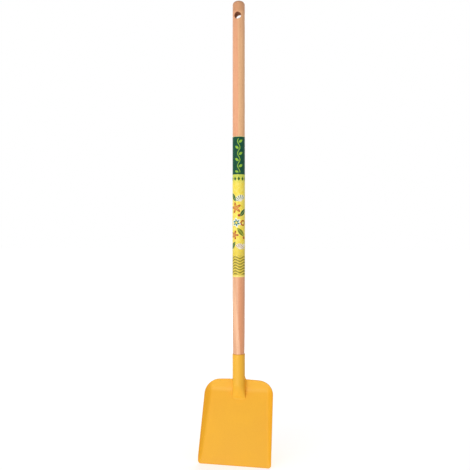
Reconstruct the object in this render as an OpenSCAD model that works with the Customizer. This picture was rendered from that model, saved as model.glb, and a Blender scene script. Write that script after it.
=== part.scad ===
// Child's long-handled sand shovel: a pressed steel pan with a tubular socket welded along it,
// a beech handle with a hang hole, and a printed wrap on the handle.
// Units are millimetres. The origin is the centre of the hang hole, on the handle's axis.
// +Z runs up the handle, -Y is the open face of the pan, +X is the right side of that face.

/* [Overall] */
// Length from the blade's tip to the top of the handle
overall_len = 748.5; // [640:0.5:900]
// Distance from the top of the handle down to the hang hole's centre
hang_drop = 25; // [18:1:45]
// Diameter of the hang hole
hang_hole_d = 11; // [6:0.5:12]

/* [Handle] */
// Diameter of the handle
handle_d = 20; // [17:0.5:24]
// Radius that rounds the handle's top end
handle_round = 6.5; // [2:0.5:8]
// Length over which the handle narrows above the socket
taper_len = 42; // [15:1:70]
// Clearance between the handle's end and the socket's bore, on the radius
socket_fit = 0.05; // [0.02:0.01:0.2]
// Distance of the handle's lower end above the pressed part of the socket
tenon_room = 7; // [6:0.5:15]
// Chamfer at the handle's lower end
tenon_chamfer = 1.5; // [0.5:0.1:3]

/* [Socket] */
// Length of the socket above the blade's rear edge
neck_len = 42.5; // [30:0.5:70]
// Step from the handle's full size out to the socket's mouth, on the radius
mouth_step = 0.3; // [0.1:0.05:0.6]
// Narrowing of the socket from its mouth to its lower end, on the radius
socket_draft = 0.2; // [0:0.05:0.3]
// Wall of the tube
socket_wall = 0.8; // [0.6:0.1:1.2]
// Length of round tube that lies on the pan
tube_down = 6; // [3:0.5:10]
// Length over which the tube is pressed flat
flat_len = 27; // [20:0.5:32]
// Thickness of the flattened end
flat_t = 1.6; // [1.2:0.1:3]
// Half the width of the flattened end
flat_half_w = 11; // [10:0.1:15]
// Length over which the flattened end is rounded off
flat_round = 4.5; // [3:0.5:8]

/* [Blade] */
// Height of the blade's rear edge above the tip, in the middle
blade_h = 129; // [110:0.5:150]
// Half the width at the tip
tip_half_w = 59.3; // [50:0.1:70]
// Half the width at the shoulders
shoulder_half_w = 56.9; // [48:0.1:66]
// Radius of the two rear corners
rear_corner_r = 23; // [18:1:26]
// Radius of the two tip corners
tip_corner_r = 5; // [2:0.5:8]
// Radius of the gentle crown along the rear edge
crown_r = 550; // [300:10:2000]
// Thickness of the sheet
sheet_t = 1.1; // [0.8:0.1:1.6]
// Forward lift of the pan's floor from the handle's direction, in degrees
floor_lift = 21.2; // [16:0.2:24]
// Forward lean of the rear strip, in degrees
rear_lean = 4; // [0:0.5:8]
// Radius of the bend between the floor and the rear strip
rear_bend_r = 22; // [14:1:30]
// Length of the rear strip
rear_strip = 12.8; // [10:0.2:15]
// Distance of the rear strip behind the handle's axis, at its lower end
strip_back = 5.6; // [5:0.2:8.5]
// Slope of the side walls from the floor, in degrees
wall_slope = 38; // [20:1:50]
// Width of a side wall at the tip
wall_tip_w = 4.2; // [3:0.1:8]
// Width of a side wall at the shoulders
wall_rear_w = 8.8; // [5:0.1:11]
// Half width of the bend between a side wall and the floor
wall_bend = 2.4; // [1:0.1:4]
// Share of the side walls' rise that is lost round the rear corners
wall_fade = 0.45; // [0:0.05:0.7]
// Share of the side walls' rise that is lost at the tip
tip_fade = 0.75; // [0:0.05:0.9]
// Length over which the side walls fade at the tip
tip_run = 14; // [8:1:30]

/* [Weld seams] */
// Length that each seam runs below the blade's rear edge
seam_down = 30; // [20:0.5:32]
// Length that each seam runs above the blade's rear edge
seam_over = 7; // [3:0.5:10]
// Reach of a seam along the pan and along the tube
seam_leg = 3; // [2:0.1:4]
// Number of ripples in each seam
seam_ripples = 9; // [5:1:14]

/* [Screw] */
// Distance of the screw below the socket's mouth
screw_drop = 14; // [8:0.5:24]
// Length of the screw under its head
screw_len = 15; // [11:0.5:17]
// Outside diameter of the thread
screw_d = 4; // [3.5:0.1:4.5]
// Diameter of the screw's head
screw_head_d = 7.4; // [6.5:0.1:9]
// Height of the screw's head
screw_head_h = 2.6; // [2:0.1:3.2]
// Pitch of the thread
screw_pitch = 1.8; // [1.4:0.1:2.2]

/* [Wrap] */
// Distance of the wrap's lower edge above the socket's mouth
wrap_up = 126; // [60:1:160]
// Length of the wrap
wrap_len = 229; // [150:1:300]
// Thickness of the film
wrap_t = 0.16; // [0.1:0.02:0.3]
// Angle over which the film overlaps at the back, in degrees
wrap_lap = 30; // [15:1:60]
// Clearance under the film
wrap_gap = 0.03; // [0.02:0.01:0.1]

/* [Hidden] */
$fn = 96;
// Room that a cutting shape runs past the face it cuts
over = 1;
// Bare touch left between two welded pieces
touch = 0.03;
// Heights above the blade's tip
hang_h = overall_len - hang_drop;
mouth_h = blade_h + neck_len;
flat_start_h = blade_h - tube_down;
flat_end_h = flat_start_h - flat_len;
tenon_end_h = flat_start_h + tenon_room;
seam_low_h = blade_h - seam_down;
screw_h = mouth_h - screw_drop;
wrap_low_h = mouth_h + wrap_up;
// Radii of the handle and of the socket's two ends
handle_r = handle_d / 2;
mouth_r = handle_r + mouth_step;
base_r = mouth_r - socket_draft;
// Room round the screw in the socket's wall, and depth of its thread
screw_clear = 0.1;
thread_deep = 0.75;
screw_core_r = screw_d / 2 - thread_deep;
// Room left under the handle's end
bore_room = 5;
bore_low_h = tenon_end_h - bore_room;
seat_y = tube_r(screw_h);

// Radius of the tube's outside at a height above the tip.
function tube_r(h) = base_r + (mouth_r - base_r) * (h - flat_start_h) / (mouth_h - flat_start_h);
function bore_r(h) = tube_r(h) - socket_wall;
function clamp01(v) = max(0, min(1, v));
function ease(t) = t * t * (3 - 2 * t);
function lerp(a, b, t) = a + (b - a) * t;

// Middle profile of the pan: straight floor, bend, then the rear strip, as depth y at a height h.
bend_top_h = blade_h - rear_strip * cos(rear_lean);
bend_low_h = bend_top_h - rear_bend_r * (sin(floor_lift) + sin(rear_lean));
bend_low_y = strip_back - rear_bend_r * (cos(rear_lean) - cos(floor_lift));
tip_y = bend_low_y - tan(floor_lift) * bend_low_h;
function bend_angle(h) = asin(sin(floor_lift) - (h - bend_low_h) / rear_bend_r);
function mid_y(h) =
    h <= bend_low_h ? tip_y + tan(floor_lift) * h
    : h < bend_top_h ? bend_low_y + rear_bend_r * (cos(bend_angle(h)) - cos(floor_lift))
    : strip_back - tan(rear_lean) * (h - bend_top_h);

// Half width of the pan, with its four rounded corners, at a height h.
corner_h = blade_h - rear_corner_r;
function side_w(h) = lerp(tip_half_w, shoulder_half_w, h / corner_h);
function half_w(h) =
    h < tip_corner_r ? side_w(h) - tip_corner_r + sqrt(tip_corner_r ^ 2 - (tip_corner_r - h) ^ 2)
    : h > corner_h ? side_w(h) - rear_corner_r + sqrt(max(0, rear_corner_r ^ 2 - (h - corner_h) ^ 2))
    : side_w(h);

// Rise of a side wall over the floor, with a soft bend at its foot.
function soft(q) = q < -wall_bend ? 0 : q > wall_bend ? q : (q + wall_bend) ^ 2 / (4 * wall_bend);
function wall_w(h) = lerp(wall_tip_w, wall_rear_w, clamp01(h / corner_h));
function wall_share(h) =
    1 - wall_fade * ease(clamp01((h - corner_h) / rear_corner_r))
    - tip_fade * ease(clamp01(1 - h / tip_run));
function wall_rise(x, h) =
    wall_share(h) * tan(wall_slope) * soft(wall_w(h) - (side_w(h) - abs(x))) / cos(floor_lift);

// Flattening of the tube's end: 0 where it is round, 1 at the flat end.
function flat_t01(h) = clamp01((flat_start_h - h) / (flat_start_h - flat_end_h));
function tube_back(h) = lerp(tube_r(max(h, flat_start_h)), mid_y(h), ease(flat_t01(h)));
function tube_front(h) = lerp(-tube_r(max(h, flat_start_h)), mid_y(flat_end_h) - flat_t, ease(flat_t01(h)));
// Share of the full rounding at the flattened end, so that it ends in a short straight edge
round_share = 0.9;
function end_round(h) =
    sqrt(1 - (round_share * clamp01((flat_end_h + flat_round - h) / flat_round)) ^ 2);
function tube_half(h) = lerp(tube_r(max(h, flat_start_h)), flat_half_w, ease(flat_t01(h))) * end_round(h);

// Cradle pressed into the pan behind the tube.
function cradle_y(x, h) =
    let (a = tube_half(h), b = (tube_back(h) - tube_front(h)) / 2, c = (tube_back(h) + tube_front(h)) / 2)
    abs(x) >= a || h < flat_end_h ? mid_y(h) - over : c + touch + b * sqrt(1 - (x / a) ^ 2);
function pan_y(x, h) = max(mid_y(h), cradle_y(x, h)) - wall_rise(x, h);

// Rows of the pan from tip to rear edge, and its columns from left to right.
tip_steps = 4;
floor_steps = 5;
mid_steps = 5;
rear_steps = 12;
// Room round the cradle, and the height below which the pan is plain
cradle_room = 3;
plain_h = flat_end_h - cradle_room;
floor_rows = [for (k = [1 : floor_steps]) lerp(tip_corner_r, plain_h, k / floor_steps)];
mid_rows = [for (k = [1 : mid_steps]) lerp(plain_h, corner_h, k / mid_steps)];
rows = concat(
    [for (k = [0 : tip_steps]) tip_corner_r * (1 - cos(90 * k / tip_steps))],
    floor_rows,
    mid_rows,
    [for (k = [1 : rear_steps]) corner_h + rear_corner_r * sin(90 * k / rear_steps)]
);
// Half width of the middle columns, which cover the cradle
mid_half = flat_half_w + cradle_room;
mid_cols = 20;
side_cols = 11;
// Power that gathers the columns towards the side walls
gather = 1.7;
side_share = [for (k = [1 : side_cols]) 1 - (1 - k / side_cols) ^ gather];
function col_x(i, h) =
    i < side_cols ? -lerp(mid_half, half_w(h), side_share[side_cols - 1 - i])
    : i <= side_cols + mid_cols ? lerp(-mid_half, mid_half, (i - side_cols) / mid_cols)
    : lerp(mid_half, half_w(h), side_share[i - side_cols - mid_cols - 1]);
last_col = 2 * side_cols + mid_cols;
last_row = len(rows) - 1;
function crown(x, h) = x ^ 2 / (2 * crown_r) * clamp01((h - corner_h) / rear_corner_r);

// A point of the pan's front, and the same point moved back by the sheet's thickness.
slope_step = 0.2;
steepest = 1.2;
function pan_front(x, h) = [x, pan_y(x, h), h - crown(x, h)];
function pan_back(x, h) =
    let (
        dx = (pan_y(x + slope_step, h) - pan_y(x - slope_step, h)) / (2 * slope_step),
        dz = (mid_y(h + slope_step) - mid_y(h - slope_step)) / (2 * slope_step),
        lean = max(-steepest, min(steepest, dx)),
        n = [-lean, 1, -dz]
    )
    pan_front(x, h) + n * sheet_t / norm(n);

module from_tip() {
    translate([0, 0, -hang_h]) children();
}

module blade() {
    cols = last_col + 1;
    count = cols * (last_row + 1);
    front = [for (h = rows) for (i = [0 : last_col]) pan_front(col_x(i, h), h)];
    back = [for (h = rows) for (i = [0 : last_col]) pan_back(col_x(i, h), h)];
    front_faces = [
        for (j = [0 : last_row - 1]) for (i = [0 : last_col - 1])
            each [[j * cols + i, (j + 1) * cols + i, (j + 1) * cols + i + 1],
                  [j * cols + i, (j + 1) * cols + i + 1, j * cols + i + 1]]
    ];
    back_faces = [for (f = front_faces) [count + f[2], count + f[1], count + f[0]]];
    rim = concat(
        [for (i = [0 : last_col]) i],
        [for (j = [1 : last_row]) j * cols + last_col],
        [for (i = [1 : last_col]) last_row * cols + last_col - i],
        [for (j = [1 : last_row - 1]) (last_row - j) * cols]
    );
    edge_faces = [
        for (k = [0 : len(rim) - 1])
            let (a = rim[k], b = rim[(k + 1) % len(rim)])
            each [[a, b, count + b], [a, count + b, count + a]]
    ];
    color([0.96, 0.7, 0.14])
    from_tip()
        polyhedron(concat(front, back), concat(front_faces, back_faces, edge_faces));
}

// Flattened end of the tube: rings that go from round to a thin tongue lying on the pan.
module tube_end() {
    // Points in a ring, rings, and how far the rings stay inside the round tube
    ring_n = 40;
    ring_last = 16;
    sink = 0.02;
    function ring_h(j) = lerp(flat_start_h, flat_end_h, sin(90 * j / ring_last));
    function ring_point(h, ang) =
        let (
            b = (tube_back(h) - tube_front(h)) / 2 - sink,
            c = (tube_back(h) + tube_front(h)) / 2
        )
        [(tube_half(h) - sink) * cos(ang), c + b * sin(ang), h];
    points = [
        for (j = [-1 : ring_last]) for (i = [0 : ring_n - 1])
            ring_point(j < 0 ? flat_start_h + over : ring_h(j), 360 * i / ring_n)
    ];
    sides = [
        for (j = [0 : ring_last]) for (i = [0 : ring_n - 1])
            let (k = (i + 1) % ring_n)
            each [[j * ring_n + i, j * ring_n + k, (j + 1) * ring_n + k],
                  [j * ring_n + i, (j + 1) * ring_n + k, (j + 1) * ring_n + i]]
    ];
    top = [[for (i = [0 : ring_n - 1]) ring_n - 1 - i]];
    bottom = [[for (i = [0 : ring_n - 1]) (ring_last + 1) * ring_n + i]];
    polyhedron(points, concat(sides, top, bottom));
}

module socket() {
    bore_len = mouth_h + over - bore_low_h;
    hole_d = screw_d + 2 * screw_clear;
    color([0.97, 0.73, 0.2])
    from_tip()
    difference() {
        union() {
            translate([0, 0, flat_start_h]) cylinder(h = mouth_h - flat_start_h, r1 = base_r, r2 = mouth_r);
            tube_end();
        }
        translate([0, 0, bore_low_h])
            cylinder(h = bore_len, r1 = bore_r(bore_low_h), r2 = bore_r(mouth_h + over));
        translate([0, 0, screw_h]) rotate([-90, 0, 0]) cylinder(h = mouth_r + over, d = hole_d);
    }
}

// One weld seam in the corner between the tube and the pan; side is -1 for left and 1 for right.
module seam(side) {
    seam_rows = 4 * seam_ripples;
    top_h = blade_h + seam_over;
    // Size of the seam's ends, depth of a ripple, swell of its face and place of its shoulders
    end_size = 0.12;
    ripple = 0.1;
    swell = 0.2;
    shoulder = 0.3;
    function size(t) =
        let (
            h = lerp(seam_low_h, top_h, t),
            rising = sqrt(sin(90 * clamp01((h - seam_low_h) / seam_down))),
            fading = (1 - clamp01((h - blade_h) / seam_over)) ^ 2,
            swelling = end_size + (1 - end_size) * min(rising, fading)
        )
        seam_leg * swelling * (1 + ripple * sin(360 * seam_ripples * t));
    function section(t) =
        let (
            h = lerp(seam_low_h, top_h, t),
            a = tube_half(h) + touch,
            b = (tube_back(h) - tube_front(h)) / 2 + touch,
            c = (tube_back(h) + tube_front(h)) / 2,
            y = mid_y(h) - touch,
            root = acos((y - c) / b),
            leg = size(t),
            turn = leg / a * 180 / PI,
            foot = [a * sin(root) + leg, y],
            head = [a * sin(root + turn), c + b * cos(root + turn)],
            along = foot - head,
            bow = [-along[1], along[0]] * -swell
        )
        [
            [a * sin(root), y],
            foot - [leg / 2, 0],
            foot,
            lerp(foot, head, shoulder) + bow,
            lerp(foot, head, 1 - shoulder) + bow,
            head,
            [a * sin(root + turn / 2), c + b * cos(root + turn / 2)]
        ];
    ring_n = 7;
    points = [
        for (k = [0 : seam_rows])
            let (t = k / seam_rows)
            for (q = section(t)) [side * q[0], q[1], lerp(seam_low_h, top_h, t)]
    ];
    sides = [
        for (k = [0 : seam_rows - 1]) for (i = [0 : ring_n - 1])
            let (m = (i + 1) % ring_n)
            each [[k * ring_n + i, k * ring_n + m, (k + 1) * ring_n + m],
                  [k * ring_n + i, (k + 1) * ring_n + m, (k + 1) * ring_n + i]]
    ];
    cap = [[0, 1, 6], [1, 2, 3], [1, 3, 6], [3, 4, 6], [4, 5, 6]];
    low_end = [for (f = cap) [f[2], f[1], f[0]]];
    top_end = [for (f = cap) [for (i = f) seam_rows * ring_n + i]];
    faces = concat(sides, low_end, top_end);
    flip = [for (f = faces) [for (i = [0 : len(f) - 1]) f[len(f) - 1 - i]]];
    polyhedron(points, side > 0 ? faces : flip);
}

module weld_left() {
    color([0.93, 0.68, 0.16]) from_tip() seam(-1);
}

module weld_right() {
    color([0.93, 0.68, 0.16]) from_tip() seam(1);
}

// Half section of the handle, from its axis outward.
module handle_section() {
    neck_r = bore_r(mouth_h) - socket_fit;
    end_r = bore_r(tenon_end_h) - socket_fit;
    flat_r = handle_r - handle_round;
    round_h = overall_len - handle_round;
    polygon([
        [0, tenon_end_h],
        [end_r - tenon_chamfer, tenon_end_h],
        [end_r, tenon_end_h + tenon_chamfer],
        [neck_r, mouth_h],
        [handle_r, mouth_h + taper_len],
        [handle_r, round_h],
        [0, round_h]
    ]);
    intersection() {
        translate([flat_r, round_h]) circle(r = handle_round);
        translate([0, round_h - over]) square([handle_d, handle_d]);
    }
    translate([0, round_h - over]) square([flat_r, handle_round + over]);
}

module handle() {
    hole_r = screw_d / 2 + screw_clear / 2;
    hole_deep = screw_len + screw_clear;
    color([0.9, 0.68, 0.5])
    difference() {
        from_tip() rotate_extrude() handle_section();
        rotate([90, 0, 0]) cylinder(h = handle_d + 2 * over, d = hang_hole_d, center = true);
        translate([0, seat_y - hole_deep, screw_h - hang_h])
            rotate([-90, 0, 0]) cylinder(h = hole_deep, r = hole_r);
    }
}

// Half section of the screw's threaded part, from its axis outward; the head's seat is at zero.
module thread_section() {
    tip_len = screw_d;
    // Share of the pitch from one root to the next crest's far side
    flank = 0.75;
    turns = floor((screw_len - tip_len) / screw_pitch);
    ridges = [
        for (k = [0 : turns - 1])
            let (y = -(k + 0.5) * screw_pitch)
            each [
                [screw_core_r, y],
                [screw_d / 2, y - screw_pitch / 2],
                [screw_core_r, y - screw_pitch * flank]
            ]
    ];
    root = [[0, 0], [screw_core_r, 0]];
    point = [[screw_core_r, tip_len - screw_len], [0, -screw_len]];
    polygon(concat(root, ridges, point));
}

module socket_screw() {
    // Depth, width and length of the cross recess
    recess_deep = 1.5;
    recess_w = 1;
    recess_len = 4.4;
    dome_r = (screw_head_d ^ 2 / 4 + screw_head_h ^ 2) / (2 * screw_head_h);
    color([0.75, 0.76, 0.78])
    translate([0, seat_y + touch, screw_h - hang_h])
    rotate([-90, 0, 0])
    difference() {
        union() {
            rotate_extrude() thread_section();
            intersection() {
                cylinder(h = screw_head_h, d = screw_head_d);
                translate([0, 0, screw_head_h - dome_r]) sphere(r = dome_r);
            }
        }
        for (a = [0, 90])
            rotate([0, 0, a])
                translate([-recess_len / 2, -recess_w / 2, screw_head_h - recess_deep])
                    cube([recess_len, recess_w, recess_deep + over]);
    }
}

module wrap() {
    in_r = handle_r + wrap_gap;
    out_r = in_r + wrap_t;
    lap_sink = wrap_t / 4;
    color([0.95, 0.85, 0.3])
    from_tip()
    translate([0, 0, wrap_low_h]) {
        difference() {
            cylinder(h = wrap_len, r = out_r);
            translate([0, 0, -over]) cylinder(h = wrap_len + 2 * over, r = in_r);
        }
        rotate([0, 0, 90 - wrap_lap / 2])
            rotate_extrude(angle = wrap_lap)
                translate([out_r - lap_sink, 0]) square([wrap_t + lap_sink, wrap_len]);
    }
}

blade();
socket();
weld_left();
weld_right();
handle();
socket_screw();
wrap();
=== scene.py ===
import math

import bmesh
import bpy
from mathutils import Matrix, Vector


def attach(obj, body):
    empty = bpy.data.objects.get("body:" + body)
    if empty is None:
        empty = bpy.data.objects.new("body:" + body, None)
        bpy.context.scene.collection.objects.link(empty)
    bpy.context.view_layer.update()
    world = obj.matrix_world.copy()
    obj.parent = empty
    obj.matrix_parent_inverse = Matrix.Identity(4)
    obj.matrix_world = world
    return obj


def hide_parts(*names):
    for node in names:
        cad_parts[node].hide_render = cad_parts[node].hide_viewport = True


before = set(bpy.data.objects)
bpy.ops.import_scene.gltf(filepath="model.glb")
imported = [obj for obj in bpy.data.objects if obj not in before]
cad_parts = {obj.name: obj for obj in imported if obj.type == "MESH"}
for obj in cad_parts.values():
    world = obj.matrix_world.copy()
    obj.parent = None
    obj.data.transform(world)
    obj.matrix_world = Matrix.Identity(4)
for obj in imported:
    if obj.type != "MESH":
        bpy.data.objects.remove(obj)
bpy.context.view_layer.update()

MM_PER_M = 1000
# Sizes repeated from the part's source, in millimetres; heights h are above the blade's tip.
HANG_H = 723.5
OVERALL = 748.5
HANDLE_R = 10.0
HANDLE_ROUND = 6.5
HANG_R = 5.5
TAPER_LEN = 42.0
MOUTH_H = 171.5
MOUTH_R, BASE_R = 10.3, 10.1
SOCKET_WALL, SOCKET_FIT = 0.8, 0.05
BORE_LOW_H, TENON_END_H, TENON_CHAMFER = 125.0, 130.0, 1.5
FLAT_START_H, FLAT_END_H = 123.0, 96.0
FLAT_T, FLAT_HALF_W, FLAT_ROUND = 1.6, 11.0, 4.5
BLADE_H, TIP_HALF_W, SHOULDER_HALF_W = 129.0, 59.3, 56.9
REAR_CORNER_R, TIP_CORNER_R, CROWN_R = 23.0, 5.0, 550.0
SHEET_T = 1.1
FLOOR_LIFT, REAR_LEAN = math.radians(21.2), math.radians(4.0)
REAR_BEND_R, REAR_STRIP, STRIP_BACK = 22.0, 12.8, 5.6
WALL_SLOPE, WALL_TIP_W, WALL_REAR_W, WALL_BEND = math.radians(38.0), 4.2, 8.8, 2.4
WALL_FADE, TIP_FADE, TIP_RUN = 0.45, 0.75, 14.0
SEAM_LOW_H, SEAM_TOP_H, SEAM_LEG, SEAM_RIPPLES = 99.0, 136.0, 3.0, 18
WRAP_LOW_H, WRAP_LEN, WRAP_T, WRAP_GAP, WRAP_LAP = 297.5, 229.0, 0.16, 0.03, 30.0
TOUCH = 0.03
# How far the edges' deeper colour reaches into the coated pieces.
RIM_REACH = 1.6


def lerp(a, b, t):
    return a + (b - a) * t


def clamp01(v):
    return max(0.0, min(1.0, v))


def ease(t):
    return t * t * (3 - 2 * t)


def smooth_max(a, b, k):
    gap = max(k - abs(a - b), 0.0) / k
    return max(a, b) + gap * gap * k / 4


# Forms repeated from the part's source.
BEND_TOP_H = BLADE_H - REAR_STRIP * math.cos(REAR_LEAN)
BEND_LOW_H = BEND_TOP_H - REAR_BEND_R * (math.sin(FLOOR_LIFT) + math.sin(REAR_LEAN))
BEND_LOW_Y = STRIP_BACK - REAR_BEND_R * (math.cos(REAR_LEAN) - math.cos(FLOOR_LIFT))
TIP_Y = BEND_LOW_Y - math.tan(FLOOR_LIFT) * BEND_LOW_H
CORNER_H = BLADE_H - REAR_CORNER_R


def tube_r(h):
    return BASE_R + (MOUTH_R - BASE_R) * (h - FLAT_START_H) / (MOUTH_H - FLAT_START_H)


def mid_y(h):
    """Depth of the pan's middle line: the sloping floor, the bend and the rear strip."""
    if h <= BEND_LOW_H:
        return TIP_Y + math.tan(FLOOR_LIFT) * h
    if h < BEND_TOP_H:
        angle = math.asin(math.sin(FLOOR_LIFT) - (h - BEND_LOW_H) / REAR_BEND_R)
        return BEND_LOW_Y + REAR_BEND_R * (math.cos(angle) - math.cos(FLOOR_LIFT))
    return STRIP_BACK - math.tan(REAR_LEAN) * (h - BEND_TOP_H)


def side_w(h):
    return lerp(TIP_HALF_W, SHOULDER_HALF_W, h / CORNER_H)


def wall_rise(x, h):
    """How far the side wall stands forward of the floor at a point."""
    width = lerp(WALL_TIP_W, WALL_REAR_W, clamp01(h / CORNER_H))
    q = width - (side_w(h) - abs(x))
    if q < -WALL_BEND:
        rise = 0.0
    elif q > WALL_BEND:
        rise = q
    else:
        rise = (q + WALL_BEND) ** 2 / (4 * WALL_BEND)
    share = 1 - WALL_FADE * ease(clamp01((h - CORNER_H) / REAR_CORNER_R))
    share -= TIP_FADE * ease(clamp01(1 - h / TIP_RUN))
    return share * math.tan(WALL_SLOPE) * rise / math.cos(FLOOR_LIFT)


def tube_section(h):
    """Half width, half depth and middle depth of the tube at a height."""
    t = ease(clamp01((FLAT_START_H - h) / (FLAT_START_H - FLAT_END_H)))
    r = tube_r(max(h, FLAT_START_H))
    back = lerp(r, mid_y(h), t)
    front = lerp(-r, mid_y(FLAT_END_H) - FLAT_T, t)
    end = 0.9 * clamp01((FLAT_END_H + FLAT_ROUND - h) / FLAT_ROUND)
    half = lerp(r, FLAT_HALF_W, t) * math.sqrt(1 - end * end)
    return half, (back - front) / 2, (back + front) / 2


def pan_y(x, h):
    """Depth of the pan's front face: its floor, the tube's cradle and the side walls."""
    floor = mid_y(h)
    a, b, c = tube_section(h)
    cradle, blend = floor - 1, 0.8
    if abs(x) < a and h >= FLAT_END_H:
        cradle = c + TOUCH + b * math.sqrt(1 - (x / a) ** 2)
    return smooth_max(floor, cradle, blend) - wall_rise(x, h)


def crown(x, h):
    """How far the rear edge drops away from its middle."""
    return x * x / (2 * CROWN_R) * clamp01((h - CORNER_H) / REAR_CORNER_R)


def pan_point(x, h):
    return Vector((x, pan_y(x, h), h - crown(x, h)))


def pan_normal(x, h):
    """Direction from the pan's front to its back."""
    step = 0.35
    along = pan_point(x + step, h) - pan_point(x - step, h)
    up = pan_point(x, h + step) - pan_point(x, h - step)
    n = up.cross(along)
    return (n if n.y > 0 else -n).normalized()


# Mesh tools.
class Shape:
    """Points in millimetres from the tip, with faces between rings of them."""

    def __init__(self):
        self.points = []
        self.faces = []

    def ring(self, points):
        start = len(self.points)
        self.points.extend(points)
        return list(range(start, len(self.points)))

    def band(self, a, b, closed=True):
        last = len(a) if closed else len(a) - 1
        for i in range(last):
            k = (i + 1) % len(a)
            self.faces.append((a[i], a[k], b[k], b[i]))

    def fan(self, ring, point):
        centre = len(self.points)
        self.points.append(point)
        for i in range(len(ring)):
            self.faces.append((ring[i], ring[(i + 1) % len(ring)], centre))

    def build(self, name, node, material, drop=HANG_H, sharp=40.0):
        mesh = bpy.data.meshes.new(name)
        place = [(x / MM_PER_M, y / MM_PER_M, (z - drop) / MM_PER_M) for x, y, z in self.points]
        mesh.from_pydata(place, [], self.faces)
        work = bmesh.new()
        work.from_mesh(mesh)
        same_place = 1e-7
        bmesh.ops.remove_doubles(work, verts=work.verts, dist=same_place)
        bmesh.ops.dissolve_degenerate(work, edges=work.edges, dist=same_place)
        bmesh.ops.recalc_face_normals(work, faces=work.faces)
        work.to_mesh(mesh)
        work.free()
        mesh.polygons.foreach_set("use_smooth", [True] * len(mesh.polygons))
        mesh.set_sharp_from_angle(angle=math.radians(sharp))
        mesh.materials.append(material)
        piece = bpy.data.objects.new(name, mesh)
        bpy.context.scene.collection.objects.link(piece)
        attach(piece, "root")
        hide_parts(node)
        return piece


def mark(piece, name, share):
    """Store a share from 0 to 1 on each point of a coated piece, found from its x and height."""
    mesh = piece.data
    marks = mesh.attributes.new(name, "FLOAT", "POINT")
    for point, one in zip(mesh.vertices, marks.data):
        one.value = clamp01(share(point.co.x * MM_PER_M, point.co.z * MM_PER_M + HANG_H))


# Node tools.
class Nodes:
    """A material with short calls for its nodes; a value is a number or another node's socket."""

    MIX_A, MIX_B, MIX_OUT = 6, 7, 2

    def __init__(self, name):
        self.material = bpy.data.materials.new(name)
        self.material.use_nodes = True
        self.tree = self.material.node_tree
        self.tree.nodes.clear()
        self.output = self.tree.nodes.new("ShaderNodeOutputMaterial")

    def add(self, kind, **settings):
        node = self.tree.nodes.new("ShaderNode" + kind)
        for key, value in settings.items():
            setattr(node, key, value)
        return node

    def put(self, socket, value):
        if isinstance(value, bpy.types.NodeSocket):
            self.tree.links.new(value, socket)
        elif value is not None:
            socket.default_value = value

    def math(self, operation, a, b=None, c=None):
        node = self.add("Math", operation=operation)
        for socket, value in zip(node.inputs, (a, b, c)):
            self.put(socket, value)
        return node.outputs[0]

    def where(self):
        return self.add("TexCoord").outputs["Object"]

    def scaled(self, vector, scale, place=(0, 0, 0)):
        node = self.add("Mapping")
        self.put(node.inputs["Vector"], vector)
        node.inputs["Scale"].default_value = scale
        node.inputs["Location"].default_value = place
        return node.outputs[0]

    def split(self, vector):
        node = self.add("SeparateXYZ")
        self.put(node.inputs[0], vector)
        return node.outputs

    def noise(self, vector, scale=1.0, detail=2.0, roughness=0.5, distortion=0.0):
        node = self.add("TexNoise")
        self.put(node.inputs["Vector"], vector)
        node.inputs["Scale"].default_value = scale
        node.inputs["Detail"].default_value = detail
        node.inputs["Roughness"].default_value = roughness
        node.inputs["Distortion"].default_value = distortion
        return node.outputs["Fac"]

    def step(self, value, low, high, out_low=0.0, out_high=1.0):
        """A soft step from out_low to out_high as the value goes from low to high."""
        node = self.add("MapRange", interpolation_type="SMOOTHSTEP")
        for key, number in zip(("Value", "From Min", "From Max", "To Min", "To Max"),
                               (value, low, high, out_low, out_high)):
            self.put(node.inputs[key], number)
        return node.outputs[0]

    def mix(self, share, a, b):
        node = self.add("Mix", data_type="RGBA")
        self.put(node.inputs[0], share)
        self.put(node.inputs[self.MIX_A], a)
        self.put(node.inputs[self.MIX_B], b)
        return node.outputs[self.MIX_OUT]

    def bump(self, height, strength, distance):
        node = self.add("Bump")
        node.inputs["Strength"].default_value = strength
        node.inputs["Distance"].default_value = distance
        self.put(node.inputs["Height"], height)
        return node.outputs[0]

    def blend(self, a, share_a, b, share_b):
        """Two values added with their shares."""
        return self.math("MULTIPLY_ADD", a, share_a, self.math("MULTIPLY", b, share_b))

    def length(self, vector):
        node = self.add("VectorMath", operation="LENGTH")
        self.put(node.inputs[0], vector)
        return node.outputs["Value"]

    def surface(self, **inputs):
        node = self.add("BsdfPrincipled")
        for key, value in inputs.items():
            self.put(node.inputs[key.replace("_", " ")], value)
        self.tree.links.new(node.outputs[0], self.output.inputs[0])
        return self.material


def srgb(r, g, b):
    """A colour given as 0 to 255 steps, as the shaders want it."""
    def one(v):
        v /= 255
        return v / 12.92 if v <= 0.04045 else ((v + 0.055) / 1.055) ** 2.4
    return (one(r), one(g), one(b), 1.0)


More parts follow.
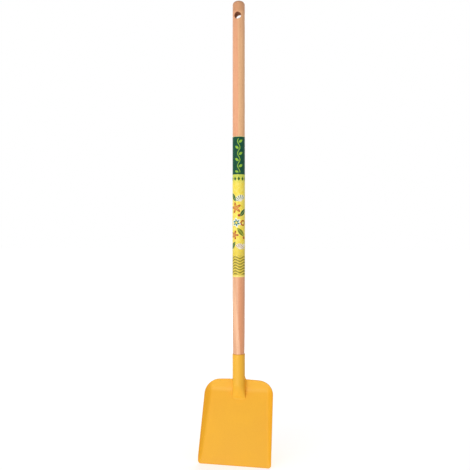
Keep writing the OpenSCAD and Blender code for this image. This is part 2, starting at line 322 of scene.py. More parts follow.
def powder_coat():
    n = Nodes("yellow_powder_coat")
    at = n.where()
    cloud = n.noise(at, 22.0, 3.0, 0.55)
    fine = n.noise(at, 260.0, 3.0, 0.6)
    peel = n.noise(at, 900.0, 2.0, 0.5)
    grit = n.noise(at, 3800.0, 1.0, 0.5)
    colour = n.mix(n.step(cloud, 0.3, 0.7), srgb(246, 179, 32), srgb(249, 183, 35))
    colour = n.mix(n.step(fine, 0.55, 0.8, 0.0, 0.16), colour, srgb(252, 191, 52))
    colour = n.mix(n.step(peel, 0.45, 0.7, 0.0, 0.22), colour, srgb(234, 163, 20))
    colour = n.mix(n.step(grit, 0.6, 0.8, 0.0, 0.35), colour, srgb(226, 152, 12))
    # Painted highlight: a paler, yellower colour over the tube and the pan's upper strip, where
    # the thin share is set, stands in for the light these catch. The coat is deeper along edges,
    # where it gathers.
    thin = n.add("Attribute", attribute_name="thin").outputs["Fac"]
    colour = n.mix(n.math("MULTIPLY", thin, 0.7), colour, srgb(242, 184, 54))
    edge = n.add("Attribute", attribute_name="rim").outputs["Fac"]
    colour = n.mix(n.math("MULTIPLY", edge, 0.55), colour, srgb(232, 158, 20))
    rough = n.step(n.blend(fine, 0.5, cloud, 0.5), 0.3, 0.7, 0.46, 0.56)
    height = n.math("MULTIPLY_ADD", grit, 0.25, peel)
    return n.surface(Base_Color=colour, Roughness=rough, Normal=n.bump(height, 0.45, 0.00016),
                     IOR=1.5, Specular_IOR_Level=0.4)


def beech():
    n = Nodes("varnished_beech")
    at = n.where()
    x, y, z = n.split(at)
    broad = n.noise(n.scaled(at, (190, 190, 4.5)), 1.0, 3.0, 0.5, 0.3)
    line = n.noise(n.scaled(at, (820, 820, 11), (3, 1, 7)), 1.0, 4.0, 0.6)
    hair = n.noise(n.scaled(at, (2600, 2600, 40), (5, 2, 1)), 1.0, 2.0, 0.6)
    fleck = n.noise(n.scaled(at, (1900, 1900, 240), (2, 9, 4)), 1.0, 1.0, 0.4)
    pore = n.noise(n.scaled(at, (5200, 5200, 330), (8, 3, 6)), 1.0, 1.0, 0.4)
    # Layers of growth are planes through the stick, so a change of colour shows on both its sides.
    wobble = n.math("MULTIPLY", n.math("SUBTRACT", broad, 0.5), 0.007)
    across = n.math("ADD", n.math("MULTIPLY_ADD", y, 0.25, x), wobble)
    tan_side = n.step(across, -0.0036, -0.0008)
    low = n.step(z, -0.36, -0.45)
    pink = n.mix(low, srgb(238, 169, 128), srgb(230, 172, 133))
    tan = n.mix(low, srgb(238, 186, 136), srgb(230, 158, 114))
    colour = n.mix(tan_side, pink, tan)
    # A pale layer crosses the lower part at a slant.
    slant = n.math("MULTIPLY_ADD", z, 0.075, n.math("ADD", across, 0.0429))
    pale = n.math("MULTIPLY", n.step(n.math("ABSOLUTE", slant), 0.0039, 0.0017), low)
    colour = n.mix(n.math("MULTIPLY", pale, 0.75), colour, srgb(254, 202, 162))
    colour = n.mix(n.step(broad, 0.3, 0.75, 0.0, 0.5), colour, srgb(246, 188, 146))
    colour = n.mix(n.step(line, 0.5, 0.75, 0.0, 0.42), colour, srgb(214, 142, 98))
    colour = n.mix(n.step(hair, 0.52, 0.8, 0.0, 0.3), colour, srgb(196, 128, 88))
    colour = n.mix(n.step(fleck, 0.66, 0.74, 0.0, 0.5), colour, srgb(178, 104, 66))
    colour = n.mix(n.step(pore, 0.7, 0.78, 0.0, 0.4), colour, srgb(150, 88, 58))
    # The wood is browner towards the top end, in steps: below the hole, above it and over the
    # rounded end.
    colour = n.mix(n.step(z, -0.05, -0.012, 0.0, 0.32), colour, srgb(218, 158, 116))
    colour = n.mix(n.step(z, 0.004, 0.010, 0.0, 0.6), colour, srgb(202, 144, 102))
    colour = n.mix(n.step(z, 0.0205, 0.0245, 0.0, 0.5), colour, srgb(196, 138, 98))
    # Painted shade inside the hang hole: its wall is coloured dark brown. The wall is also left
    # unvarnished and rougher.
    bore = n.math("SQRT", n.math("MULTIPLY_ADD", x, x, n.math("MULTIPLY", z, z)))
    hole_wall = n.step(bore, 0.0060, 0.0055)
    hole_shade_colour = n.mix(n.step(hair, 0.35, 0.65), srgb(158, 100, 66), srgb(182, 122, 84))
    colour = n.mix(hole_wall, colour, hole_shade_colour)
    rough = n.step(n.blend(line, 0.6, hair, 0.4), 0.3, 0.7, 0.4, 0.52)
    rough = n.math("MAXIMUM", rough, n.math("MULTIPLY", hole_wall, 0.95))
    varnish = n.math("MULTIPLY_ADD", hole_wall, -0.1, 0.1)
    height = n.math("MULTIPLY_ADD", hair, 0.5, n.math("MULTIPLY_ADD", fleck, -0.4, line))
    return n.surface(Base_Color=colour, Roughness=rough, Normal=n.bump(height, 0.25, 0.0001),
                     IOR=1.48, Specular_IOR_Level=0.35, Coat_Weight=varnish, Coat_Roughness=0.28)


def zinc():
    n = Nodes("zinc_plate")
    at = n.where()
    bloom = n.noise(at, 420.0, 3.0, 0.6)
    brush = n.noise(n.scaled(at, (6000, 900, 900)), 1.0, 2.0, 0.5)
    colour = n.mix(n.step(bloom, 0.35, 0.7), srgb(196, 198, 202), srgb(222, 220, 208))
    rough = n.step(brush, 0.3, 0.7, 0.26, 0.42)
    return n.surface(Base_Color=colour, Metallic=1.0, Roughness=rough,
                     Normal=n.bump(brush, 0.2, 0.00004))


def printed_film():
    n = Nodes("printed_film")
    at = n.where()
    x, y, z = n.split(at)
    # The angle round the stick is cut where the lapped film ends, at the back.
    half_lap = math.radians(WRAP_LAP / 2)
    across = n.blend(x, math.cos(half_lap), y, math.sin(half_lap))
    ahead = n.blend(x, math.sin(half_lap), y, -math.cos(half_lap))
    turn = n.math("ADD", n.math("ARCTAN2", across, ahead), half_lap)
    # The print's own millimetres: u runs round the stick and v up it.
    u = n.math("MULTIPLY", turn, HANDLE_R + WRAP_GAP + WRAP_T)
    v = n.math("MULTIPLY", z, MM_PER_M)
    flat = n.add("CombineXYZ")
    n.put(flat.inputs[0], u)
    n.put(flat.inputs[1], v)
    flat = flat.outputs[0]
    mottle = n.noise(flat, 0.22, 3.0, 0.6)
    grain = n.noise(flat, 1.5, 3.0, 0.6)

    def local(u0, v0, size, tilt):
        node = n.add("Mapping", vector_type="TEXTURE")
        n.put(node.inputs["Vector"], flat)
        node.inputs["Location"].default_value = (u0, v0, 0)
        node.inputs["Rotation"].default_value = (0, 0, math.radians(tilt))
        node.inputs["Scale"].default_value = (size, size, 1)
        return node.outputs[0]

    def inside(edge, distance, size):
        """1 where the distance is less than the edge, with a soft rim about 0.25 mm wide."""
        return n.step(n.math("SUBTRACT", edge, distance), -0.12 / size, 0.12 / size)

    def lobes(vector, count, inner, outer):
        a, b, _ = n.split(vector)
        wave = n.math("COSINE", n.math("MULTIPLY", n.math("ARCTAN2", a, b), float(count)))
        return n.math("MULTIPLY_ADD", wave, (outer - inner) / 2, (outer + inner) / 2)

    # Ground colours.
    ochre_share = n.step(v, -352.0, -405.0, 0.0, 0.75)
    clear = n.mix(n.step(mottle, 0.35, 0.65), srgb(249, 222, 70), srgb(253, 235, 118))
    sand = n.mix(n.step(grain, 0.35, 0.65), srgb(206, 176, 58), srgb(240, 214, 92))
    sand_share = n.math("MULTIPLY", ochre_share, n.step(mottle, 0.25, 0.6, 0.45, 1.0))
    colour = n.mix(sand_share, clear, sand)
    colour = n.mix(n.step(v, -276.0, -262.0), colour, srgb(208, 216, 92))

    # A row of green diamonds under the green band.
    cell = n.math("SUBTRACT", n.math("FLOORED_MODULO", n.math("ADD", u, 33.0), 6.4), 3.2)
    side = n.math("DIVIDE", n.math("ABSOLUTE", cell), 2.3)
    tall = n.math("DIVIDE", n.math("ABSOLUTE", n.math("ADD", v, 266.0)), 3.6)
    colour = n.mix(inside(1.0, n.math("ADD", side, tall), 2.0), colour, srgb(58, 104, 44))

    def paint(mask, shade, share=1.0):
        nonlocal colour
        if share != 1.0:
            mask = n.math("MULTIPLY", mask, share)
        colour = n.mix(mask, colour, shade)

    def disc(u0, v0, size, tilt, shade):
        paint(inside(1.0, n.length(local(u0, v0, size, tilt)), size), shade)

    def ring(u0, v0, size, tilt, shade):
        d = n.math("ABSOLUTE", n.math("SUBTRACT", n.length(local(u0, v0, size, tilt)), 0.78))
        paint(inside(0.22, d, size), shade)

    def star(u0, v0, size, tilt, shade):
        place = local(u0, v0, size, tilt)
        d = n.length(place)
        paint(inside(lobes(place, 5, 0.34, 1.0), d, size), shade)
        paint(inside(lobes(place, 5, 0.1, 0.62), d, size), srgb(240, 176, 92), 0.7)

    def flower(u0, v0, size, tilt, shade):
        place = local(u0, v0, size, tilt)
        d = n.length(place)
        paint(inside(lobes(place, 6, 0.62, 1.0), d, size), srgb(246, 246, 232))
        paint(inside(lobes(place, 6, 0.36, 0.72), d, size), shade)
        paint(inside(0.24, d, size), srgb(250, 224, 90))

    def leaf(u0, v0, size, tilt, shade):
        a, b, _ = n.split(local(u0, v0, size, tilt))
        a = n.math("ABSOLUTE", a)
        edge = n.math("MULTIPLY_ADD", n.math("MULTIPLY", b, b), -0.4, 0.4)
        paint(inside(edge, a, size), shade)
        rib = n.math("MULTIPLY", inside(0.05, a, size), n.step(n.math("ABSOLUTE", b), 0.85, 0.7))
        paint(rib, srgb(196, 206, 96), 0.8)

    def shell(u0, v0, size, tilt, shade):
        place = local(u0, v0, size, tilt)
        a, b, _ = n.split(place)
        d = n.length(place)
        angle = n.math("ARCTAN2", a, b)
        fan = n.step(n.math("ABSOLUTE", angle), 1.2, 1.12)
        wave = n.math("COSINE", n.math("MULTIPLY", angle, 16.0))
        body = n.math("MULTIPLY", inside(n.math("MULTIPLY_ADD", wave, 0.035, 0.96), d, size), fan)
        paint(body, srgb(250, 240, 214))
        rib = n.math("MULTIPLY", body, n.step(wave, -0.1, -0.7))
        paint(n.math("MULTIPLY", rib, n.step(d, 0.2, 0.5)), shade)

    brown, green, red = srgb(198, 112, 46), srgb(34, 96, 60), srgb(176, 70, 44)
    teal, olive, dusk = srgb(40, 128, 128), srgb(122, 136, 44), srgb(170, 128, 118)
    way_round, before_cut = 64.0, 29.3
    # The motifs once at the front, and once half way round and a little lower.
    for turned, shift in ((0.0, 0.0), (33.0, 6.0)):

        def around(u0):
            return (u0 + turned + before_cut) % way_round - before_cut

        shell(around(6.0), -303.0 - shift, 11.0, 18.0, teal)
        leaf(around(-7.0), -296.0 - shift, 8.0, 28.0, green)
        star(around(-3.0), -313.5 - shift, 9.5, 12.0, brown)
        leaf(around(9.5), -321.0 - shift, 8.5, -42.0, green)
        disc(around(2.5), -325.5 - shift, 2.2, 0.0, red)
        flower(around(-2.0), -337.5 - shift, 8.2, 8.0, teal)
        ring(around(9.5), -338.0 - shift, 4.6, 0.0, red)
        leaf(around(5.5), -353.0 - shift, 9.0, 40.0, olive)
        star(around(-5.5), -357.5 - shift, 7.4, -20.0, red)
        disc(around(11.5), -362.0 - shift, 2.4, 0.0, brown)
        shell(around(3.5), -381.0 - shift, 10.0, -16.0, dusk)
        leaf(around(-8.5), -375.0 - shift, 8.0, -36.0, green)
        disc(around(12.0), -374.0 - shift, 2.6, 0.0, srgb(248, 238, 206))

    # Sand ripples near the lower end.
    swing = n.math("MULTIPLY", n.math("SINE", n.math("MULTIPLY", u, 2 * math.pi / 16.0)), 1.5)
    rise = n.math("ADD", n.math("ADD", v, swing), n.math("MULTIPLY", mottle, 2.0))
    saw = n.math("ABSOLUTE", n.math("SUBTRACT", n.math("FLOORED_MODULO", rise, 4.6), 2.3))
    zone = n.math("MULTIPLY", n.step(v, -390.0, -394.0), n.step(v, -422.5, -421.5))
    paint(n.math("MULTIPLY", n.step(saw, 1.35, 0.85), zone), srgb(128, 118, 44), 0.85)
    paint(n.step(v, -423.0, -424.0), srgb(250, 230, 128))

    # Dark green band with a trailing plant, three times round the stick.
    lane = n.math("SUBTRACT", n.math("FLOORED_MODULO", n.math("ADD", u, 51.25), 21.34), 10.67)
    stem_at = n.math("MULTIPLY", n.math("SINE", n.math("MULTIPLY", v, 2 * math.pi / 20.0)), 1.9)
    stem = n.math("ABSOLUTE", n.math("SUBTRACT", lane, stem_at))
    lime = n.step(stem, 0.75, 0.5)
    half = n.math("FLOORED_MODULO", v, 20.0)
    flip = n.math("SUBTRACT", n.math("MULTIPLY", n.math("GREATER_THAN", half, 10.0), 2.0), 1.0)
    along = n.math("SUBTRACT", n.math("FLOORED_MODULO", v, 10.0), 5.0)
    outward = n.math("SUBTRACT", n.math("MULTIPLY", lane, flip), 3.1)
    lean_a = n.math("MULTIPLY_ADD", outward, 0.82, n.math("MULTIPLY", along, 0.57))
    lean_b = n.math("MULTIPLY_ADD", along, 0.82, n.math("MULTIPLY", outward, -0.57))
    width = n.math("MULTIPLY_ADD", n.math("MULTIPLY", lean_a, lean_a), -2.0 / 14.0, 2.0)
    leaf_mask = n.step(n.math("SUBTRACT", width, n.math("ABSOLUTE", lean_b)), -0.12, 0.12)
    lime = n.math("MAXIMUM", lime, leaf_mask)
    planted = n.math("MULTIPLY", n.step(v, -256.5, -255.5), n.step(v, -200.0, -201.0))
    lime = n.math("MULTIPLY", lime, planted)
    band = n.mix(n.step(mottle, 0.3, 0.7), srgb(4, 70, 48), srgb(8, 82, 58))
    band = n.mix(lime, band, srgb(150, 196, 62))
    colour = n.mix(n.step(v, -259.3, -258.7), colour, band)
    paint(n.step(v, -197.9, -197.6), srgb(222, 214, 150))

    # Ink dots of the print, and the film's slight waviness.
    dots = n.noise(flat, 5.5, 1.0, 0.5)
    colour = n.mix(n.step(dots, 0.5, 0.75, 0.0, 0.12), colour, srgb(120, 110, 60))
    rough = n.step(grain, 0.3, 0.7, 0.32, 0.42)
    height = n.math("MULTIPLY_ADD", dots, 0.2, mottle)
    return n.surface(Base_Color=colour, Roughness=rough, Normal=n.bump(height, 0.12, 0.0003),
                     IOR=1.5, Specular_IOR_Level=0.16)


# The pan: a front and a back sheet of points, with a rounded rim between them.
def make_blade(material):
    edge = SHEET_T / 2
    tip_r, rear_r = TIP_CORNER_R - edge, REAR_CORNER_R - edge

    def half_w(h):
        w = side_w(h)
        if h < TIP_CORNER_R:
            return w - TIP_CORNER_R + math.sqrt(max(0.0, tip_r ** 2 - (TIP_CORNER_R - h) ** 2))
        if h > CORNER_H:
            return w - REAR_CORNER_R + math.sqrt(max(0.0, rear_r ** 2 - (h - CORNER_H) ** 2))
        return w - edge

    plain_h = FLAT_END_H - 3
    rows = [TIP_CORNER_R - tip_r * math.cos(math.pi / 2 * k / 8) for k in range(9)]
    rows += [lerp(TIP_CORNER_R, plain_h, k / 22) for k in range(1, 23)]
    rows += [lerp(plain_h, CORNER_H, k / 14) for k in range(1, 15)]
    rows += [CORNER_H + rear_r * math.sin(math.pi / 2 * k / 26) for k in range(1, 27)]
    mid_half, mid_n, side_n = FLAT_HALF_W + 3, 40, 24

    def columns(h):
        w = half_w(h)
        outer = [lerp(mid_half, w, 1 - (1 - k / side_n) ** 1.5) for k in range(1, side_n + 1)]
        mid = [lerp(-mid_half, mid_half, k / mid_n) for k in range(mid_n + 1)]
        return [-x for x in reversed(outer)] + mid + outer

    s = Shape()
    front, back = [], []
    for h in rows:
        xs = columns(h)
        points = [pan_point(x, h) for x in xs]
        front.append(s.ring(points))
        back.append(s.ring([p + pan_normal(x, h) * SHEET_T for p, x in zip(points, xs)]))
    for j in range(len(rows) - 1):
        s.band(front[j], front[j + 1], closed=False)
        s.band(back[j], back[j + 1], closed=False)

    def border(grid):
        right = [row[-1] for row in grid[1:-1]]
        left = [row[0] for row in reversed(grid[1:-1])]
        return grid[0] + right + list(reversed(grid[-1])) + left

    fore, aft = border(front), border(back)
    middle = [(s.points[a] + s.points[b]) / 2 for a, b in zip(fore, aft)]
    centre = sum(middle, Vector()) / len(middle)
    outward = []
    for k, p in enumerate(middle):
        along = middle[(k + 1) % len(middle)] - middle[k - 1]
        out = along.cross(s.points[aft[k]] - s.points[fore[k]]).normalized()
        outward.append(out if out.dot(p - centre) > 0 else -out)
    half_through = [(s.points[b] - s.points[a]) / 2 for a, b in zip(fore, aft)]
    steps, last = 8, fore
    for q in range(1, steps):
        a = math.pi * q / steps
        loop = s.ring([
            p - through * math.cos(a) + out * edge * math.sin(a)
            for p, through, out in zip(middle, half_through, outward)
        ])
        s.band(last, loop)
        last = loop
    s.band(last, aft)
    piece = s.build("pan", "blade", material)

    def nearness(x, z):
        h = min(z + crown(x, z), BLADE_H)
        inside = min(half_w(max(h, 0.0)) + edge - abs(x), h, BLADE_H - h)
        return 1 - (inside - edge) / RIM_REACH

    # Share of the painted highlight: none low on the pan, rising to full by its upper strip,
    # towards the tube.
    def upper_highlight(x, z):
        start, run, most = FLAT_END_H + 6, 14, 0.7
        return most * ease(clamp01((z - start) / run))

    mark(piece, "rim", nearness)
    # The thin mark holds the painted highlight's share.
    mark(piece, "thin", upper_highlight)


# The tube: outside from its pressed end to the mouth, over the lip and down the bore.
def make_socket(material):
    count = 96
    lip = 0.3
    s = Shape()

    def loop(a, b, c, h):
        return s.ring([
            (a * math.cos(2 * math.pi * i / count), c + b * math.sin(2 * math.pi * i / count), h)
            for i in range(count)
        ])

    # The pressed end thins out over its last millimetres.
    rings = []
    end_len, end_share, end_power = 6.0, 0.06, 0.8
    heights = [FLAT_END_H + end_len * (1 - math.cos(math.pi / 2 * k / 8)) for k in range(1, 9)]
    heights += [lerp(FLAT_END_H + end_len, FLAT_START_H, (k / 26) ** 0.85) for k in range(1, 27)]
    heights += [lerp(FLAT_START_H, MOUTH_H - lip, k / 20) for k in range(1, 21)]
    for h in heights:
        a, b, c = tube_section(h)
        thin = b * lerp(end_share, 1.0, clamp01((h - FLAT_END_H) / end_len) ** end_power)
        rings.append(loop(a, thin, c + b - thin, h))
    r_out = tube_r(MOUTH_H)
    r_in = r_out - SOCKET_WALL
    lip_n = 4
    for k in range(1, lip_n + 1):
        t = math.pi / 2 * k / lip_n
        r = r_out - lip * (1 - math.cos(t))
        rings.append(loop(r, r, 0, MOUTH_H - lip * (1 - math.sin(t))))
    for k in range(lip_n + 1):
        t = math.pi / 2 * k / lip_n
        r = r_in + lip * (1 - math.sin(t))
        rings.append(loop(r, r, 0, MOUTH_H - lip * (1 - math.cos(t))))
    for k in range(1, 9):
        h = lerp(MOUTH_H - lip, BORE_LOW_H, k / 8)
        r = tube_r(h) - SOCKET_WALL
        rings.append(loop(r, r, 0, h))
    for low, high in zip(rings, rings[1:]):
        s.band(low, high)
    s.fan(rings[-1], (0, 0, BORE_LOW_H))
    a, b, c = tube_section(FLAT_END_H)
    s.fan(rings[0], (0, c + b * (1 - end_share), FLAT_END_H))
    piece = s.build("socket_tube", "socket", material)
    mark(piece, "rim", lambda x, h: 1 - (MOUTH_H - lip - h) / RIM_REACH)
    # The whole tube takes the full painted highlight.
    mark(piece, "thin", lambda x, h: 1.0)


# A weld seam: overlapping ripples along the corner between the tube and the pan.
def make_seam(side, name, node, material):
    per_ripple, face_n = 8, 12
    rows = SEAM_RIPPLES * per_ripple
    s = Shape()
    rings = []
    top_run = SEAM_TOP_H - BLADE_H + 0.8
    for k in range(rows + 1):
        t = k / rows
        h = lerp(SEAM_LOW_H, SEAM_TOP_H, t)
        a, b, c = tube_section(h)
        a, b = a + TOUCH, b + TOUCH
        y = mid_y(h) - TOUCH
        root = math.acos(max(-1.0, min(1.0, (y - c) / b)))
        share = clamp01((h - SEAM_LOW_H) / (BLADE_H - SEAM_LOW_H))
        rising = math.sqrt(math.sin(math.pi / 2 * share))
        fading = clamp01((SEAM_TOP_H - h) / top_run) ** 2
        swelling = 0.12 + 0.88 * max(0.0, -smooth_max(-rising, -fading, 0.25))
        leg = SEAM_LEG * swelling * (1 + 0.03 * math.cos(2 * math.pi * SEAM_RIPPLES * t))
        turn = leg / a
        foot = Vector((a * math.sin(root) + leg, y))
        head = Vector((a * math.sin(root + turn), c + b * math.cos(root + turn)))
        along = foot - head
        bow = Vector((along.y, -along.x))
        section = [Vector((a * math.sin(root), y)), foot - Vector((leg / 2, 0))]
        for q in range(face_n + 1):
            w = q / face_n
            arch = 4 * w * (1 - w)
            ripple = math.cos(2 * math.pi * (SEAM_RIPPLES * t + 0.45 * arch))
            section.append(foot.lerp(head, w) + bow * arch * (0.19 + 0.035 * ripple))
        section.append(Vector((a * math.sin(root + turn / 2), c + b * math.cos(root + turn / 2))))
        rings.append(s.ring([(side * p.x, p.y, h) for p in section]))
    for low, high in zip(rings, rings[1:]):
        s.band(low, high)
    for loop in (rings[0], rings[-1]):
        centre = sum((Vector(s.points[i]) for i in loop), Vector()) / len(loop)
        s.fan(loop, centre)
    s.build(name, node, material)


# The stick: columns of points, with a patch round each eased mouth of the hang hole.
def make_handle(material):
    block_n, side_n, row_n = 14, 12, 14
    block = math.asin(0.78)
    turns = [lerp(-block, block, k / block_n) for k in range(block_n)]
    turns += [lerp(block, math.pi - block, k / side_n) for k in range(side_n)]
    turns += [lerp(math.pi - block, math.pi + block, k / block_n) for k in range(block_n)]
    turns += [lerp(math.pi + block, 2 * math.pi - block, k / side_n) for k in range(side_n)]
    count = len(turns)
    half_h = 9.0
    s = Shape()

    def loop(r, z):
        return s.ring([(r * math.sin(a), -r * math.cos(a), z) for a in turns])

    # Down from the hole to the end in the socket.
    z_mouth, z_end = MOUTH_H - HANG_H, TENON_END_H - HANG_H
    neck_r = tube_r(MOUTH_H) - SOCKET_WALL - SOCKET_FIT
    end_r = tube_r(TENON_END_H) - SOCKET_WALL - SOCKET_FIT
    levels = [(HANDLE_R, lerp(half_h, -half_h, k / row_n)) for k in range(row_n + 1)]
    levels += [(HANDLE_R, lerp(-half_h, z_mouth + TAPER_LEN, k / 30)) for k in range(1, 31)]
    for k in range(1, 9):
        levels.append((lerp(HANDLE_R, neck_r, k / 8), z_mouth + TAPER_LEN * (1 - k / 8)))
    for k in range(1, 5):
        levels.append((lerp(neck_r, end_r, k / 4), lerp(z_mouth, z_end + TENON_CHAMFER, k / 4)))
    levels.append((end_r - TENON_CHAMFER, z_end))
    rings = [loop(r, z) for r, z in levels]
    front = range(0, block_n)
    back = range(block_n + side_n, 2 * block_n + side_n)
    for j in range(len(rings) - 1):
        for i in range(count):
            if j < row_n and (i in front or i in back):
                continue
            k = (i + 1) % count
            s.faces.append((rings[j][i], rings[j][k], rings[j + 1][k], rings[j + 1][i]))
    s.fan(rings[-1], (0, 0, z_end))

    # Up from the hole to the rounded top.
    top = OVERALL - HANG_H
    upper = [rings[0]]
    upper += [loop(HANDLE_R, lerp(half_h, top - HANDLE_ROUND, k / 4)) for k in range(1, 5)]
    for k in range(1, 13):
        t = math.pi / 2 * k / 12
        r = HANDLE_R - HANDLE_ROUND * (1 - math.cos(t))
        upper.append(loop(r, top - HANDLE_ROUND * (1 - math.sin(t))))
    upper += [loop((HANDLE_R - HANDLE_ROUND) * (1 - k / 3), top) for k in range(1, 3)]
    for low, high in zip(upper, upper[1:]):
        s.band(low, high)
    s.fan(upper[-1], (0, 0, top))

    # The hole's two mouths and its wall.
    ease_r = 0.9
    walls = []
    for first, sign in ((0, -1), (block_n + side_n, 1)):
        cols = [first + k for k in range(block_n + 1)]
        edge = [rings[0][i % count] for i in cols]
        edge += [rings[j][cols[-1] % count] for j in range(1, row_n)]
        edge += [rings[row_n][i % count] for i in reversed(cols)]
        edge += [rings[j][cols[0] % count] for j in range(row_n - 1, 0, -1)]
        aim = [math.atan2(s.points[i][2], s.points[i][0]) for i in edge]
        last = edge
        for k in range(1, 5):
            pts = []
            for i, a in zip(edge, aim):
                x = lerp(s.points[i][0], (HANG_R + ease_r) * math.cos(a), k / 4)
                z = lerp(s.points[i][2], (HANG_R + ease_r) * math.sin(a), k / 4)
                pts.append((x, sign * math.sqrt(HANDLE_R ** 2 - x * x), z))
            nxt = s.ring(pts)
            s.band(last, nxt)
            last = nxt
        for k in range(1, 6):
            t = math.pi / 2 * k / 5
            r = HANG_R + ease_r * (1 - math.sin(t))
            pts = []
            for a in aim:
                x = r * math.cos(a)
                y = math.sqrt(HANDLE_R ** 2 - x * x) - ease_r * (1 - math.cos(t))
                pts.append((x, sign * y, r * math.sin(a)))
            nxt = s.ring(pts)
            s.band(last, nxt)
            last = nxt
        walls.append((last, aim))
    # Each point of the near mouth is joined to the far mouth's point at the same angle.
    (near, near_aim), (far, far_aim) = walls
    order = []
    for a in near_aim:
        gaps = [abs(math.remainder(a - b, 2 * math.pi)) for b in far_aim]
        order.append(far[gaps.index(min(gaps))])
    last = near
    for k in range(1, 6):
        pairs = [(Vector(s.points[p]), Vector(s.points[q])) for p, q in zip(near, order)]
        nxt = s.ring([p.lerp(q, k / 6) for p, q in pairs])
        s.band(last, nxt)
        last = nxt
    s.band(last, order)
    s.build("handle_stick", "handle", material, drop=0.0)


# The wrap: one film rolled round the stick, with its end lapped over its start at the back.
def make_wrap(material):
    count, row_n = 150, 24
    inner = HANDLE_R + WRAP_GAP
    lap = math.radians(WRAP_LAP)
    start = math.pi - lap / 2
    total = 2 * math.pi + lap
    lift, lift_run = WRAP_T + 0.01, 0.12
    path = []
    for k in range(count + 1):
        turn = total * k / count
        up = ease(clamp01((turn - (2 * math.pi - lift_run)) / lift_run))
        path.append((start + turn, inner + lift * up))
    s = Shape()
    rings = []
    for j in range(row_n + 1):
        z = lerp(WRAP_LOW_H, WRAP_LOW_H + WRAP_LEN, j / row_n)
        outer = [((r + WRAP_T) * math.sin(a), -(r + WRAP_T) * math.cos(a), z) for a, r in path]
        under = [(r * math.sin(a), -r * math.cos(a), z) for a, r in reversed(path)]
        rings.append(s.ring(outer + under))
    for low, high in zip(rings, rings[1:]):
        s.band(low, high)
    n = count + 1
    for loop, flip in ((rings[0], True), (rings[-1], False)):
        for i in range(count):
            face = (loop[i], loop[i + 1], loop[2 * n - 2 - i], loop[2 * n - 1 - i])
            s.faces.append(face[::-1] if flip else face)
    s.build("film_wrap", "wrap", material)


# The screw: the source's own form, without the faces that have no area.
def make_screw(material):
    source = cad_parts["socket_screw"].data
    shift = Vector((0, 0, HANG_H))
    s = Shape()
    s.points = [v.co * MM_PER_M + shift for v in source.vertices]
    s.faces = [tuple(f.vertices) for f in source.polygons]
    s.build("cross_screw", "socket_screw", material, sharp=30.0)


# The camera, found from the slopes of the pan's edges in the photo.
def make_camera():
    turn, distance, aside, level = math.radians(12.1), 1.077, -0.00615, -0.3576
    focal_px, frame_px, sensor_mm = 657.0, 470, 36
    toward = Vector((math.sin(turn), -math.cos(turn), 0))
    across = Vector((math.cos(turn), math.sin(turn), 0))
    camera = bpy.data.objects.new("camera", bpy.data.cameras.new("camera"))
    bpy.context.scene.collection.objects.link(camera)
    camera.data.sensor_width = sensor_mm
    camera.data.lens = focal_px / frame_px * sensor_mm
    camera.data.clip_start, camera.data.clip_end = 0.01, 100
    camera.location = toward * distance + across * aside + Vector((0, 0, level))
    camera.rotation_euler = (-toward).to_track_quat("-Z", "Y").to_euler()
    bpy.context.scene.camera = camera


# White surroundings: seen as white, but lighting the object at a lower level.
def seen_share(tree):
    """1 where the camera sees a surface, also in a reflection or through another, and else 0."""
    path = tree.nodes.new("ShaderNodeLightPath")
    share = path.outputs["Is Camera Ray"]
    for name in ("Is Glossy Ray", "Is Transmission Ray"):
        most = tree.nodes.new("ShaderNodeMath")
        most.operation = "MAXIMUM"
        tree.links.new(share, most.inputs[0])
        tree.links.new(path.outputs[name], most.inputs[1])
        share = most.outputs[0]
    return share


def pale_floor():
    """A white floor that glows a little, less so near the object, where its shadow shows."""
    n = Nodes("pale_floor")
    unseen_glow = 0.25
    extra = n.step(n.length(n.where()), 0.4, 1.1, 0.24, 0.385)
    plain, glow, both = n.add("BsdfDiffuse"), n.add("Emission"), n.add("AddShader")
    plain.inputs["Color"].default_value = (0.9, 0.9, 0.9, 1)
    n.put(glow.inputs["Strength"], n.math("MULTIPLY_ADD", seen_share(n.tree), extra, unseen_glow))
    n.put(both.inputs[0], plain.outputs[0])
    n.put(both.inputs[1], glow.outputs[0])
    n.put(n.output.inputs[0], both.outputs[0])
    return n.material


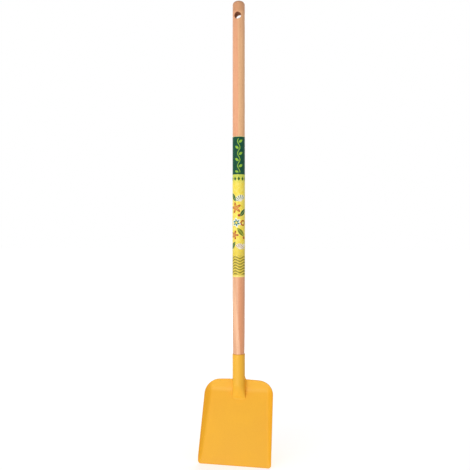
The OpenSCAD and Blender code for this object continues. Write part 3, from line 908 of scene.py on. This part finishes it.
def make_world():
    light_level, seen_level = 0.43, 1.0
    world = bpy.data.worlds.new("studio")
    bpy.context.scene.world = world
    world.use_nodes = True
    tree = world.node_tree
    tree.nodes.clear()
    out = tree.nodes.new("ShaderNodeOutputWorld")
    pick = tree.nodes.new("ShaderNodeMixShader")
    tree.links.new(seen_share(tree), pick.inputs[0])
    for level, socket in ((light_level, pick.inputs[1]), (seen_level, pick.inputs[2])):
        back = tree.nodes.new("ShaderNodeBackground")
        back.inputs["Color"].default_value = (1, 1, 1, 1)
        back.inputs["Strength"].default_value = level
        tree.links.new(back.outputs[0], socket)
    tree.links.new(pick.outputs[0], out.inputs[0])


def make_floor():
    far = 15
    corners = [(-far, -far, 0), (far, -far, 0), (far, far, 0), (-far, far, 0)]
    mesh = bpy.data.meshes.new("floor")
    mesh.from_pydata(corners, [], [(0, 1, 2, 3)])
    mesh.materials.append(pale_floor())
    floor = bpy.data.objects.new("floor", mesh)
    floor.location = (0, 0, -HANG_H / MM_PER_M)
    bpy.context.scene.collection.objects.link(floor)


# A soft rectangular lamp aimed at the shovel, placed by its turn and lift in degrees.
def make_lamp(name, turn, lift, distance, width, height, level):
    data = bpy.data.lights.new(name, "AREA")
    data.shape = "RECTANGLE"
    data.size, data.size_y = width, height
    data.energy = level * math.pi ** 2 * distance ** 2
    a, e = math.radians(turn), math.radians(lift)
    aim = Vector((0, 0, -0.4))
    away = Vector((math.sin(a) * math.cos(e), -math.cos(a) * math.cos(e), math.sin(e)))
    light = bpy.data.objects.new(name, data)
    light.location = aim + away * distance
    light.rotation_euler = (-away).to_track_quat("-Z", "Y").to_euler()
    bpy.context.scene.collection.objects.link(light)


coat = powder_coat()
make_blade(coat)
make_socket(coat)
make_seam(-1, "seam_left", "weld_left", coat)
make_seam(1, "seam_right", "weld_right", coat)
make_handle(beech())
make_wrap(printed_film())
make_screw(zinc())

make_camera()
make_world()
make_floor()
make_lamp("key", turn=-16, lift=-3, distance=1.7, width=1.3, height=0.46, level=0.48)
make_lamp("back_fill", turn=185, lift=24, distance=2.4, width=1.4, height=1.0, level=0.26)
bpy.context.scene.view_settings.view_transform = "Standard"
